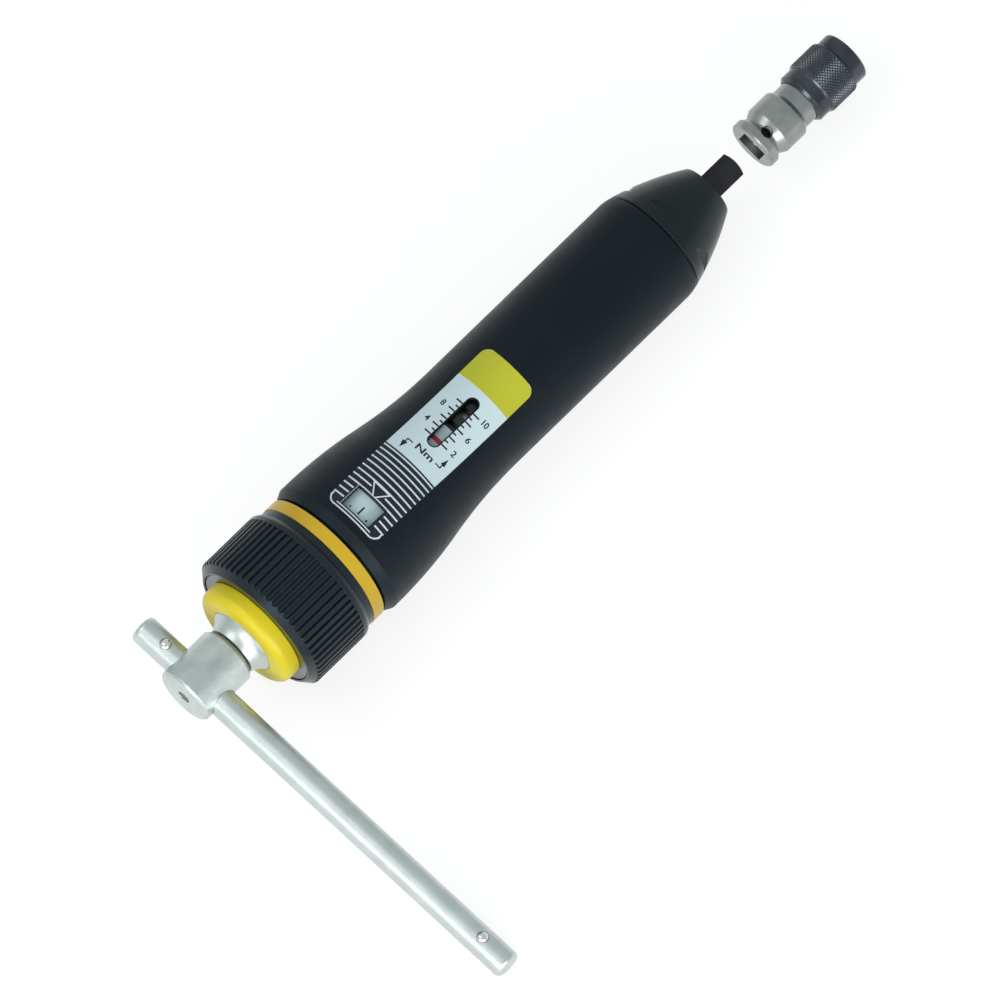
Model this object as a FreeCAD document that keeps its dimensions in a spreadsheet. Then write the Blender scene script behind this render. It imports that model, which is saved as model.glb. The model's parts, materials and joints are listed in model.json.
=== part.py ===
import FreeCAD, Part
import math
import os
import re

import Sketcher
from FreeCAD import Placement, Rotation, Vector

# Torque screwdriver, in millimetres and degrees, with a sliding T-handle and a bit adapter.
#
# Every piece is drawn in the tool's own frame: +X along the axis towards the square drive,
# +Z out through the middle of the label, and 0 at the rear edge of the handle. The T-bar and
# the adapter have a frame of their own. At the end everything is laid down as it comes to rest:
# on the flange, on the front of the barrel and on the far end of the T-bar.

SIZES = [
    ("run_gap", 0.08, "radial clearance of a turning or sliding fit"),
    ("face_gap", 0.1, "axial clearance between faces that turn on each other"),
    ("seat_gap", 0.02, "clearance between pieces that are fixed together"),
    ("handle_len", 105.7, "handle, from its rear edge to the nose"),
    ("flange_rad", 18.4, "largest radius of the handle"),
    ("edge_drop", 1.2, "how far the handle's rear edge lies inside the flange"),
    ("edge_bevel", 2.4, "length of the bevel behind the flange"),
    ("flare_start", 3.2, "start of the S-shaped flare"),
    ("flare_end", 46.4, "end of the flare"),
    ("barrel_rad", 14.4, "radius of the barrel"),
    ("lip_drop", 0.35, "how far the handle's front edge lies inside the barrel"),
    ("lip_len", 2.8, "length of the rounding at the front edge"),
    ("joint_bevel", 0.35, "bevels where the handle and the nose meet"),
    ("chamber_wall", 2.2, "wall of the flange round the scale drum's chamber"),
    ("chamber_len", 15.6, "depth of that chamber"),
    ("barrel_wall", 1.7, "wall of the barrel"),
    ("keyway_wide", 3.2, "width of the two keyways in the bore"),
    ("keyway_deep", 0.8, "depth of the keyways"),
    ("clip_groove", 0.5, "depth of the circlip's groove"),
    ("clip_thick", 0.9, "thickness of the circlips"),
    ("clip_wide", 1.8, "how far the circlips stand out of their grooves"),
    ("label_start", 4.2, "rear end of the label"),
    ("label_end", 57.6, "front end of the label"),
    ("label_half", 7.65, "half the label's width"),
    ("label_round", 2.2, "corner radius of the label"),
    ("label_deep", 0.25, "depth of the label's recess"),
    ("label_thick", 0.2, "thickness of the label"),
    ("window_start", 5.8, "rear edge of the drum's window"),
    ("window_end", 11.6, "front edge of the window"),
    ("window_half", 4.1, "half the window's width"),
    ("window_margin", 0.2, "how far the label keeps off the window"),
    ("slot_start", 30.7, "rear end of the scale slot"),
    ("slot_end", 46.0, "front end of the slot"),
    ("slot_wide", 2.7, "width of the slot"),
    ("slot_margin", 0.35, "how far the label keeps off the slot"),
    ("nose_len", 17.55, "nose, from the handle to its front face"),
    ("nose_step", 0.5, "how far the nose lies inside the barrel, at the handle"),
    ("nose_front_rad", 6.85, "radius of the nose's front face"),
    ("nose_arc", 73.0, "radius of the nose's curve"),
    ("nose_spigot", 6.5, "length of the nose inside the handle"),
    ("flat_deep", 1.7, "depth of the spanner flats"),
    ("flat_start", 3.2, "rear end of the flats, from the handle"),
    ("flat_count", 5, "number of spanner flats"),
    ("flat_clock", -6.5, "angle of the first flat about the axis, from the label"),
    ("bush_rad", 7.0, "outer radius of the bronze bush"),
    ("lip_thick", 4.0, "wall in front of the bush"),
    ("neck_step", 0.11, "how far the shaft's neck stands outside the square's corners"),
    ("journal_step", 0.4, "how far the shaft in the bush stands outside its neck"),
    ("hex_step", 0.15, "how far the drive cam's hexagon lies inside the journal"),
    ("drive_af", 6.35, "square drive, across flats"),
    ("drive_len", 9.1, "length of the square drive"),
    ("drive_face", 2.9, "radius of the drive's front face"),
    ("drive_bevel", 0.83, "length of the turned bevel round it"),
    ("drive_clock", 8.5, "angle of the drive about the axis, from the label"),
    ("washer_thick", 1.0, "thickness of the thrust washer"),
    ("cam_room", 0.2, "clearance of the clutch cams in the bore"),
    ("lug_room", 0.1, "clearance of the lugs in the keyways"),
    ("cam_thick", 5.0, "thickness of the drive cam behind its teeth"),
    ("pressure_thick", 7.5, "thickness of the pressure cam behind its teeth"),
    ("tooth_count", 6, "teeth on each cam"),
    ("tooth_high", 1.6, "height of a tooth"),
    ("tooth_ramp", 50.0, "angle that a tooth's ramp takes up"),
    ("tooth_inner_gap", 1.8, "ledge between the hexagon and the teeth"),
    ("tooth_outer_gap", 0.7, "ledge outside the teeth"),
    ("tooth_gap", 0.15, "clearance between meshed teeth, along the axis"),
    ("spring_wire", 2.2, "width of the main spring's square wire"),
    ("spring_room", 0.5, "clearance of the main spring in the bore"),
    ("spring_pitch", 4.4, "pitch of the main spring"),
    ("spring_back", 4.2, "start of its helix, behind the rear seat"),
    ("seat_thick", 0.8, "thickness of the spring seats"),
    ("nut_start", 28.0, "rear face of the thrust nut at its lowest setting"),
    ("nut_len", 9.2, "length of the thrust nut"),
    ("nut_flange", 2.2, "thickness of the nut's keyed flange"),
    ("indicator_wall", 1.4, "wall of the indicator sleeve"),
    ("nut_travel", 10.5, "travel of the nut over the scale"),
    ("tube_room", 1.0, "clearance between the threaded sleeve and the main spring"),
    ("tube_spare", 0.7, "sleeve left in front of the nut's last place"),
    ("collar_room", 0.9, "clearance of the sleeve's thrust collar in the bore"),
    ("collar_thick", 2.0, "thickness of the thrust collar"),
    ("plate_thick", 1.4, "thickness of the bearing plate"),
    ("tube_wall", 2.92, "wall of the threaded sleeve"),
    ("spindle_step", 0.8, "how far the pressure cam's hexagon lies inside the spindle"),
    ("hex_len", 16.0, "length of the spindle's hexagon"),
    ("hub_rad", 8.5, "radius of the hub that takes the T-handle"),
    ("hub_mouth_rad", 6.3, "radius of the hub's rear face"),
    ("hub_proud", 3.4, "how far the hub stands out behind the lock nut"),
    ("hub_flare", 3.35, "length of the hub's trumpet"),
    ("hub_flare_arc", 6.0, "radius of the trumpet's hollow"),
    ("socket_room", 0.2, "room round a square in its socket, across flats"),
    ("hub_spare", 0.6, "room behind the tang in the hub's socket"),
    ("lock_inset", 2.1, "how far the lock nut lies inside the friction plate"),
    ("lock_thick", 4.6, "thickness of the lock nut"),
    ("lock_round", 2.2, "rounding of the lock nut's rear edge"),
    ("plate_inset", 2.8, "how far the friction plate lies inside the ring"),
    ("friction_thick", 1.3, "thickness of the friction plate"),
    ("ring_proud", 0.1, "how far the setting ring stands outside the flange"),
    ("ring_rear", 24.4, "rear face of the setting ring, behind the handle"),
    ("ring_bevel", 1.8, "length of the bevel at the ring's rear edge"),
    ("ring_rim", 0.55, "flat rim between that bevel and the friction plate's recess"),
    ("plate_room", 0.25, "gap between the friction plate and the ring"),
    ("plate_sunk", 0.2, "how deep the friction plate lies in the ring's rear face"),
    ("ring_web", 4.4, "thickness of the ring's web"),
    ("shoulder_start", 7.2, "start of the ring's front shoulder, behind the handle"),
    ("neck_start", 5.65, "start of the ring's neck, behind the handle"),
    ("neck_drop", 1.1, "how far the ring's neck lies inside the ring"),
    ("spigot_wall", 0.92, "wall of the ring's spigot in the handle's mouth"),
    ("ring_spigot", 2.2, "length of the ring inside the handle's mouth"),
    ("rib_count", 60, "number of ribs round the ring"),
    ("rib_deep", 0.55, "depth of the grooves between the ribs"),
    ("groove_wide", 0.8, "width of the grooves at their floor"),
    ("band_start", 3.95, "rear edge of the colour band, behind the handle"),
    ("band_end", 0.8, "front edge of the band, behind the handle"),
    ("band_drop", 1.0, "how far the band lies inside the ring"),
    ("band_thick", 0.55, "thickness of the band"),
    ("drum_start", 3.0, "rear edge of the scale drum"),
    ("drum_room", 0.3, "clearance of the scale drum in its chamber"),
    ("drum_len", 9.6, "length of the drum"),
    ("drum_wall", 1.4, "wall of the drum"),
    ("drum_hub_wall", 1.8, "wall of the drum's hub"),
    ("drum_hub_len", 6.6, "length of the drum's hub"),
    ("sleeve_flange_gap", 0.22, "clearance of the sleeve's rear flange in the ring"),
    ("flange_thick", 2.4, "thickness of that flange"),
    ("screw_rad", 1.0, "radius of a ring screw"),
    ("screw_deep", 4.0, "thread of a ring screw in the web"),
    ("screw_head_rad", 1.9, "radius of a screw head"),
    ("screw_head", 1.2, "height of a screw head"),
    ("screw_count", 3, "number of ring screws"),
    ("tee_rad", 7.25, "radius of the T-handle's head"),
    ("tee_len", 15.0, "length of the head"),
    ("tee_gap", 0.5, "gap between the head and the hub"),
    ("tee_hole", 5.3, "centre of the bar's hole, from the head's rear face"),
    ("tee_clock", -3.0, "angle of the T-handle about the axis, from the label"),
    ("tang_len", 7.8, "length of the head's square tang, past the gap"),
    ("tee_bevel", 1.0, "bevel at the front of the head; the rear one is half of it"),
    ("centre_rad", 1.65, "radius of the head's centre hole"),
    ("centre_deep", 1.6, "depth of the centre hole"),
    ("bar_rad", 3.47, "radius of the T-bar"),
    ("bar_near", 18.5, "short end of the bar, from the axis"),
    ("bar_far", 96.5, "long end of the bar, from the axis"),
    ("bar_round", 1.2, "rounding of the bar's ends"),
    ("near_ball_in", 7.5, "detent ball of the short end, from that end"),
    ("far_ball_in", 8.4, "detent ball of the long end, from that end"),
    ("ball_rad", 1.5, "radius of the bar's detent balls"),
    ("ball_proud", 0.6, "how far those balls stand out of the bar"),
    ("ball_lip", 1.38, "radius of the lip that holds a ball"),
    ("ball_well", 3.2, "depth of a ball's hole, under the ball's centre"),
    ("pin_ball_rad", 1.2, "radius of the balls on the squares"),
    ("pin_ball_proud", 0.06, "how far those balls stand out"),
    ("pin_ball_lip", 1.15, "radius of the lip that holds them"),
    ("pin_ball_well", 1.3, "depth of their holes, under the ball's centre"),
    ("adapter_apart", 6.1, "gap between the drive's tip and the adapter"),
    ("adapter_len", 31.35, "length of the adapter"),
    ("adapter_rad", 6.35, "radius of the adapter's body"),
    ("adapter_spare", 0.5, "room behind the drive in the adapter's socket"),
    ("bit_af", 6.45, "hexagon bore for the bits, across flats"),
    ("bit_deep", 14.4, "depth of the bit bore"),
    ("rim_len", 2.1, "rim behind the adapter's groove"),
    ("groove_end", 5.5, "front end of the adapter's groove"),
    ("groove_wall", 0.77, "wall between the bottom of the groove and the socket's corners"),
    ("body_end", 11.2, "front end of the adapter's thick body"),
    ("neck_end", 12.35, "start of the adapter's neck"),
    ("bit_wall", 1.28, "wall of the adapter round the hexagon's corners"),
    ("neck_rise", 0.42, "how far the adapter's neck stands outside that wall"),
    ("cross_rad", 1.45, "radius of the hole across the adapter"),
    ("cross_at", 3.3, "place of that hole, from the rear face"),
    ("sleeve_len", 15.65, "length of the adapter's sleeve"),
    ("sleeve_room", 0.95, "space round the adapter inside its sleeve"),
    ("sleeve_wall", 0.58, "wall of the sleeve's rear band round that space"),
    ("rear_band", 3.5, "length of the rear band"),
    ("knurl_len", 8.6, "length of the knurled band"),
    ("knurl_rise", 0.37, "how far the knurled band stands outside the rear band"),
    ("knurl_bevel", 0.45, "bevel at each end of the knurled band"),
    ("front_drop", 0.13, "how far the front band lies inside the rear band"),
    ("sleeve_bevel", 0.7, "bevels at the ends of the sleeve"),
    ("sleeve_lip", 1.5, "thickness of the sleeve's rear lip"),
    ("front_lip", 1.65, "thickness of the sleeve's front lip"),
    ("land_at", 8.1, "start of the land that locks the bit ball, from the sleeve's rear"),
    ("land_len", 2.6, "length of that land"),
    ("stop_thick", 0.8, "thickness of the sleeve's stop ring"),
    ("sleeve_wire", 0.6, "width of the sleeve spring's square wire"),
    ("sleeve_pitch", 1.5, "pitch of the sleeve spring"),
]

doc = FreeCAD.newDocument("torque_screwdriver")
sheet = doc.addObject("Spreadsheet::Sheet", "Sizes")
for row, (alias, number, meaning) in enumerate(SIZES, 1):
    sheet.set(f"A{row}", meaning)
    sheet.set(f"B{row}", str(number))
    sheet.setAlias(f"B{row}", alias)
doc.recompute()

ALIASES = {alias for alias, number, meaning in SIZES}

# Radii that follow from their neighbours.
EDGE_RAD = "(flange_rad - edge_drop)"
LIP_RAD = "(barrel_rad - lip_drop)"
BORE_RAD = "(barrel_rad - barrel_wall)"
CHAMBER_RAD = "(flange_rad - chamber_wall)"
NOSE_REAR_RAD = "(barrel_rad - nose_step)"
NECK_RAD = "(drive_af / sqrt(2) + neck_step)"
JOURNAL_RAD = f"({NECK_RAD} + journal_step)"
SHAFT_HEX = f"(({JOURNAL_RAD} - hex_step) * sqrt(3))"
SPRING_RAD = f"({BORE_RAD} - spring_room)"
TUBE_RAD = f"({SPRING_RAD} - spring_wire - tube_room)"
INDICATOR_BORE = f"({BORE_RAD} - run_gap - indicator_wall)"
COLLAR_RAD = f"({BORE_RAD} - collar_room)"
SPINDLE_RAD = f"({TUBE_RAD} - tube_wall - run_gap)"
SPINDLE_HEX = f"(({SPINDLE_RAD} - spindle_step) * sqrt(3))"
CAM_RAD = f"({BORE_RAD} - cam_room)"
TOOTH_INNER = f"({SPINDLE_RAD} - spindle_step + tooth_inner_gap)"
TOOTH_OUTER = f"({CAM_RAD} - tooth_outer_gap)"
RING_RAD = "(flange_rad + ring_proud)"
RING_NECK = f"({RING_RAD} - neck_drop)"
BAND_RAD = f"({RING_RAD} - band_drop)"
BAND_SEAT = f"({BAND_RAD} - band_thick)"
PLATE_RAD = f"({RING_RAD} - plate_inset)"
PLATE_BORE = f"({PLATE_RAD} + plate_room)"
RING_FACE = f"({PLATE_BORE} + ring_rim)"
LOCK_RAD = f"({PLATE_RAD} - lock_inset)"
SPIGOT_RAD = f"({CHAMBER_RAD} - run_gap)"
RING_BORE = f"({SPIGOT_RAD} - spigot_wall)"
DRUM_RAD = f"({CHAMBER_RAD} - drum_room)"
SLEEVE_FLANGE = f"({RING_BORE} - sleeve_flange_gap)"
SCREW_CIRCLE = f"(({TUBE_RAD} + {SLEEVE_FLANGE}) / 2)"
SOCKET_AF = "(drive_af + socket_room)"
GROOVE_RAD = f"({SOCKET_AF} / sqrt(2) + groove_wall)"
INNER_NECK = "(bit_af / sqrt(3) + bit_wall)"
ADAPTER_NECK = f"({INNER_NECK} + neck_rise)"
SLEEVE_BORE = f"({INNER_NECK} + sleeve_room)"
SLEEVE_RAD = f"({SLEEVE_BORE} + sleeve_wall)"
KNURL_RAD = f"({SLEEVE_RAD} + knurl_rise)"
FRONT_BAND_RAD = f"({SLEEVE_RAD} - front_drop)"

# Places along the axis that several pieces share.
NOSE_FACE = "(handle_len + nose_len)"
DRIVE_TIP = "(handle_len + nose_len + drive_len)"
SPIGOT_FACE = "(handle_len - nose_spigot)"
CAM_FRONT = f"({SPIGOT_FACE} - washer_thick - face_gap)"
CAM_BASE = f"({CAM_FRONT} - cam_thick)"
PRESSURE_BASE = f"({CAM_BASE} - tooth_high - tooth_gap)"
PRESSURE_REAR = f"({PRESSURE_BASE} - pressure_thick)"
NUT_FRONT = "(nut_start + nut_len)"
TUBE_FRONT = f"({NUT_FRONT} + nut_travel + tube_spare)"
CLIP_FRONT = "(chamber_len - plate_thick - face_gap)"
PLATE_REAR = "(plate_sunk - ring_rear)"
LOCK_REAR = f"({PLATE_REAR} - face_gap - lock_thick)"
HUB_REAR = f"({LOCK_REAR} - hub_proud)"
WEB_REAR = f"({PLATE_REAR} + friction_thick + face_gap)"
WEB_FRONT = f"({WEB_REAR} + ring_web)"
FLANGE_FRONT = f"({WEB_FRONT} + flange_thick)"
HUB_FRONT = f"({WEB_FRONT} - face_gap)"
SPINDLE_FRONT = f"({CAM_BASE} - 0.8)"
TEE_FACE = f"({HUB_REAR} - tee_gap)"
SLEEVE_START = "(adapter_len - sleeve_len)"
KNURL_START = f"({SLEEVE_START} + rear_band)"
KNURL_END = f"({KNURL_START} + knurl_len)"
LAND_START = f"({SLEEVE_START} + land_at)"
LAND_END = f"({LAND_START} + land_len)"
BIT_BALL = f"(({LAND_START} + {LAND_END}) / 2)"
NEAR_BALL = "(bar_near - near_ball_in)"
FAR_BALL = "(bar_far - far_ball_in)"
FLARE_ARC = ("(((flare_end - flare_start)^2 + (flange_rad - barrel_rad)^2)"
             " / (4 * (flange_rad - barrel_rad)))")
LIP_ARC = "((lip_len^2 + lip_drop^2) / (2 * lip_drop))"
BALL_DEEP = "(ball_rad - ball_proud)"
PIN_BALL_DEEP = "(pin_ball_rad - pin_ball_proud)"


def cell(text):
    """The same expression with every size read from the sheet."""
    def named(match):
        return f"Sizes.{match.group()}" if match.group() in ALIASES else match.group()
    return re.sub(r"[a-z_]+", named, text)


def value(text):
    """The number that an expression of sizes stands for."""
    return float(sheet.evalExpression(text))


def origin_feature(body, role):
    return next(item for item in body.Origin.OriginFeatures if item.Role == role)


def new_body(label):
    body = doc.addObject("PartDesign::Body", label)
    body.Label = label
    return body


def flat_sketch(body, name, role, offset=None):
    """Sketch on one of the body's own planes, moved along the plane's normal by offset."""
    sketch = body.newObject("Sketcher::SketchObject", name)
    sketch.AttachmentSupport = [(origin_feature(body, role), "")]
    sketch.MapMode = "FlatFace"
    if offset:
        sketch.setExpression("AttachmentOffset.Base.z", cell(offset))
    return sketch


def arc_centre(start, end, radius, bulge):
    """Centre of the arc from start to end: a hump stands away from the axis, a hollow dips to it."""
    chord = end - start
    outwards = Vector(-chord.y, chord.x, 0).normalize()
    if outwards.y < 0:
        outwards = outwards * -1
    height = math.sqrt(max(radius ** 2 - chord.Length ** 2 / 4, 0))
    return (start + end) / 2 + outwards * (height if bulge == "hollow" else -height)


def closed_outline(sketch, corners):
    """Closed outline through (x, y) corners, pinned to the sheet.

    A corner written (x, y, radius, bulge) is reached from the one before it by an arc.
    """
    points = [Vector(value(corner[0]), value(corner[1]), 0) for corner in corners]
    first, last = [], []
    for index, corner in enumerate(corners):
        start, end = points[index - 1], points[index]
        if len(corner) == 2:
            sketch.addGeometry(Part.LineSegment(start, end), False)
            first.append(1)
            last.append(2)
            continue
        radius = value(corner[2])
        centre = arc_centre(start, end, radius, corner[3])
        turns_left = (start - centre).cross(end - centre).z > 0
        ends = (start, end) if turns_left else (end, start)
        angles = [math.atan2(point.y - centre.y, point.x - centre.x) for point in ends]
        circle = Part.Circle(centre, Vector(0, 0, 1), radius)
        sketch.addGeometry(Part.ArcOfCircle(circle, angles[0], angles[1]), False)
        first.append(1 if turns_left else 2)
        last.append(2 if turns_left else 1)
    count = len(corners)
    sketch.addConstraint([
        Sketcher.Constraint("Coincident", index, last[index], (index + 1) % count,
                            first[(index + 1) % count])
        for index in range(count)
    ])
    for index, corner in enumerate(corners):
        pinned = [("DistanceX", corner[0], points[index].x), ("DistanceY", corner[1], points[index].y)]
        for kind, text, number in pinned:
            made = sketch.addConstraint(Sketcher.Constraint(kind, -1, 1, index, last[index], number))
            sketch.setExpression(f"Constraints[{made}]", cell(text))
        if len(corner) > 2:
            made = sketch.addConstraint(Sketcher.Constraint("Radius", index, value(corner[2])))
            sketch.setExpression(f"Constraints[{made}]", cell(corner[2]))


def pinned_circle(sketch, radius, x="0", y="0"):
    made = sketch.addGeometry(Part.Circle(Vector(value(x), value(y), 0), Vector(0, 0, 1), value(radius)))
    pins = [("DistanceX", x), ("DistanceY", y)]
    for kind, text in pins:
        index = sketch.addConstraint(Sketcher.Constraint(kind, -1, 1, made, 3, value(text)))
        sketch.setExpression(f"Constraints[{index}]", cell(text))
    index = sketch.addConstraint(Sketcher.Constraint("Radius", made, value(radius)))
    sketch.setExpression(f"Constraints[{index}]", cell(radius))


def square_corners(across):
    half = f"{across} / 2"
    return [(f"-({half})", f"-({half})"), (half, f"-({half})"), (half, half), (f"-({half})", half)]


def hexagon_corners(across):
    return [(f"{across} / sqrt(3) * cos({60 * turn} deg)", f"{across} / sqrt(3) * sin({60 * turn} deg)")
            for turn in range(6)]


def turned(label, corners):
    """A round piece: an outline of (along the axis, radius) turned about the axis."""
    body = new_body(label)
    sketch = flat_sketch(body, f"{label}_outline", "XY_Plane")
    closed_outline(sketch, corners)
    turn = body.newObject("PartDesign::Revolution", f"{label}_turn")
    turn.Profile = sketch
    turn.ReferenceAxis = (origin_feature(body, "X_Axis"), [""])
    turn.Angle = 360
    return body


def tube(label, start, end, inner, outer):
    return turned(label, [(start, inner), (end, inner), (end, outer), (start, outer)])


def extruded(body, name, kind, corners, start, length, clock=None, role="YZ_Plane"):
    """Pad or pocket of a flat outline, from start along the plane's normal."""
    sketch = flat_sketch(body, f"{name}_outline", role, start)
    if clock:
        sketch.AttachmentOffset = Placement(Vector(0, 0, value(start)), Rotation(Vector(0, 0, 1), 1))
        sketch.setExpression("AttachmentOffset.Rotation.Angle", cell(clock))
    if callable(corners):
        corners(sketch)
    else:
        closed_outline(sketch, corners)
    feature = body.newObject(f"PartDesign::{kind}", name)
    feature.Profile = sketch
    feature.Reversed = kind == "Pocket"
    feature.setExpression("Length", cell(length))
    return feature


def grooved(body, name, station, corners):
    """Round hole square to the axis at a station: an outline of (radius, height) turned about Z."""
    sketch = body.newObject("Sketcher::SketchObject", f"{name}_outline")
    sketch.AttachmentSupport = [(origin_feature(body, "XZ_Plane"), "")]
    sketch.MapMode = "FlatFace"
    sketch.setExpression("AttachmentOffset.Base.x", cell(station))
    closed_outline(sketch, corners)
    groove = body.newObject("PartDesign::Groove", name)
    groove.Profile = sketch
    groove.ReferenceAxis = (sketch, ["V_Axis"])
    groove.Angle = 360
    return groove


def patterned(body, name, original, count):
    """The same feature, repeated evenly round the axis."""
    pattern = body.newObject("PartDesign::PolarPattern", name)
    pattern.Originals = [original]
    pattern.Axis = (origin_feature(body, "X_Axis"), [""])
    pattern.Angle = 360
    pattern.setExpression("Occurrences", cell(count))
    body.Tip = pattern
    return pattern


def rounded_strip(start, end, half, corner):
    """Draws a strip along the axis with rounded corners, as seen from above."""
    low, high = f"({start})", f"({end})"
    inner_low, inner_high = f"({start} + {corner})", f"({end} - {corner})"
    near, far = f"-({half})", f"({half})"
    inner_near, inner_far = f"-({half} - {corner})", f"({half} - {corner})"

    def draw(sketch):
        closed_outline(sketch, [
            (inner_low, near, corner, "hollow"),
            (inner_high, near),
            (high, inner_near, corner, "hollow"),
            (high, inner_far),
            (inner_high, far, corner, "hump"),
            (inner_low, far),
            (low, inner_far, corner, "hump"),
            (low, inner_near),
        ])
    return draw


def circlip(label, start, inner, outer, opening):
    """Retaining ring with an open gap, in a groove of a shaft or a bore."""
    body = tube(label, start, f"({start} + clip_thick)", inner, outer)
    extruded(body, f"{label}_gap", "Pocket", [
        (f"-({opening})", "0"),
        (opening, "0"),
        (opening, f"{outer} + 1"),
        (f"-({opening})", f"{outer} + 1"),
    ], f"{start} - 1", "clip_thick + 2")
    return body


def coil(label, start, end, outer, wire, pitch, back):
    """Compression spring of square wire about the axis, with both ends ground flat."""
    body = new_body(label)
    sketch = flat_sketch(body, f"{label}_wire", "XY_Plane")
    low, high = f"({start} - {back})", f"({start} - {back} + {wire})"
    closed_outline(sketch, [
        (low, f"{outer} - {wire}"),
        (high, f"{outer} - {wire}"),
        (high, outer),
        (low, outer),
    ])
    helix = body.newObject("PartDesign::AdditiveHelix", f"{label}_helix")
    helix.Profile = sketch
    helix.ReferenceAxis = (origin_feature(body, "X_Axis"), [""])
    helix.Mode = "pitch-height-angle"
    helix.setExpression("Pitch", cell(pitch))
    helix.setExpression("Height", cell(f"{end} - {start} + {back} + {pitch} / 8"))
    ends = [("rear", f"{start} - 3 * {pitch}", f"3 * {pitch}"), ("front", end, f"3 * {pitch}")]
    for side, place, length in ends:
        extruded(body, f"{label}_{side}", "Pocket", lambda made: pinned_circle(made, f"2 * {outer}"),
                 place, length)
    return body


def cam_teeth(base, forwards):
    """Ring of saw teeth with helical ramps, rising to the front or, on the mating cam, to the rear."""
    high = value("tooth_high")
    ramp = value("tooth_ramp")
    inner, outer = [Part.makeHelix(high * 360 / ramp, high, value(radius), 0, True).Edges[0]
                    for radius in (TOOTH_INNER, TOOTH_OUTER)]
    surface = Part.makeRuledSurface(inner, outer)
    tooth = surface.extrude(Vector(0, 0, -2 * high))
    if not forwards:
        tooth = surface.extrude(Vector(0, 0, 2 * high))
    around = 360 / int(value("tooth_count"))
    place = value(base) + (0 if forwards else -high)
    onto_axis = Rotation(Vector(0, 1, 0), 90)
    teeth = []
    for number in range(int(value("tooth_count"))):
        clock = Rotation(Vector(1, 0, 0), around * number)
        copy = tooth.copy()
        copy.Placement = Placement(Vector(place, 0, 0), clock * onto_axis)
        teeth.append(copy)
    return Part.makeCompound(teeth)


def feature_from(label, shape):
    made = doc.addObject("Part::Feature", label)
    made.Label = label
    made.Shape = shape
    return made


def joined(kind, label, base, tool):
    """Part boolean of two objects, under a label of its own."""
    made = doc.addObject(f"Part::{kind}", label)
    made.Label = label
    if kind == "Cut":
        made.Base = base
        made.Tool = tool
    else:
        made.Shapes = [base, tool]
    return made


def flare_edges(depth):
    """The handle's outline from the flange to past the label, shifted inwards by depth."""
    radius = value(FLARE_ARC)
    low, high = value("flare_start"), value("flare_end")
    first_centre = Vector(low, value("flange_rad") - radius, 0)
    second_centre = Vector(high, value("barrel_rad") + radius, 0)
    towards = (second_centre - first_centre).normalize()
    meeting = first_centre + towards * (radius - depth)
    slope = math.acos(towards.y)

    def on_circle(centre, reach, angle):
        return centre + Vector(math.sin(angle), math.cos(angle), 0) * reach

    start = Vector(low, value("flange_rad") - depth, 0)
    finish = Vector(high, value("barrel_rad") - depth, 0)
    last = Vector(value("label_end + label_round"), finish.y, 0)
    return [
        Part.Arc(start, on_circle(first_centre, radius - depth, slope / 2), meeting).toShape(),
        Part.Arc(meeting, on_circle(second_centre, -radius - depth, slope / 2), finish).toShape(),
        Part.LineSegment(finish, last).toShape(),
    ]


def label_patch(label, outer_depth, inner_depth, margin):
    """Patch of the handle's skin between two depths, under the label's outline."""
    outer, inner = flare_edges(value(outer_depth)), flare_edges(value(inner_depth))
    ends = [Part.LineSegment(outer[0].firstVertex().Point, inner[0].firstVertex().Point).toShape(),
            Part.LineSegment(outer[-1].lastVertex().Point, inner[-1].lastVertex().Point).toShape()]
    face = Part.Face(Part.Wire(Part.__sortEdges__(outer + inner + ends)))
    skin = feature_from(f"{label}_skin", face.revolve(Vector(0, 0, 0), Vector(1, 0, 0), 360))
    cutter = new_body(f"{label}_cutter")
    draw = rounded_strip(f"label_start - {margin}", f"label_end + {margin}", f"label_half + {margin}",
                         f"(label_round + {margin})")
    extruded(cutter, f"{label}_column", "Pad", draw, "0", "2 * flange_rad", role="XY_Plane")
    return joined("MultiCommon", label, skin, cutter)


def openings_cutter(label, window_margin, slot_margin):
    """Column through the drum's window and another through the scale slot."""
    window = new_body(f"{label}_window")
    low, high = f"(window_start - {window_margin})", f"(window_end + {window_margin})"
    near, far = f"-(window_half + {window_margin})", f"(window_half + {window_margin})"
    extruded(window, f"{label}_window_column", "Pad",
             [(low, near), (high, near), (high, far), (low, far)],
             "0", "2 * flange_rad", role="XY_Plane")
    slot = new_body(f"{label}_slot")
    half = f"(slot_wide / 2 + {slot_margin})"
    draw = rounded_strip(f"slot_start - {slot_margin}", f"slot_end + {slot_margin}", half,
                         f"({half} - 0.01)")
    extruded(slot, f"{label}_slot_column", "Pad", draw, "0", "2 * flange_rad", role="XY_Plane")
    return joined("MultiFuse", label, window, slot)


def ball_well(body, name, station, surface, radius, deep, lip, well):
    """Stepped hole for a sprung ball, opening at a height of surface above the axis."""
    bore = f"({radius} + run_gap / 2)"
    centre = f"({surface} - {deep})"
    lip_low = f"({centre} + sqrt(({radius} + run_gap / 2)^2 - {lip}^2))"
    return grooved(body, name, station, [
        ("0", f"{centre} - {well}"),
        (bore, f"{centre} - {well}"),
        (bore, centre),
        (lip, lip_low, bore, "hump"),
        (lip, f"{surface} - 0.03"),
        (f"{lip} + 0.35", f"{surface} + 0.35"),
        ("0", f"{surface} + 0.35"),
    ])


def sphere(label, radius):
    made = doc.addObject("Part::Sphere", label)
    made.Label = label
    made.setExpression("Radius", cell(radius))
    return made


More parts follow.
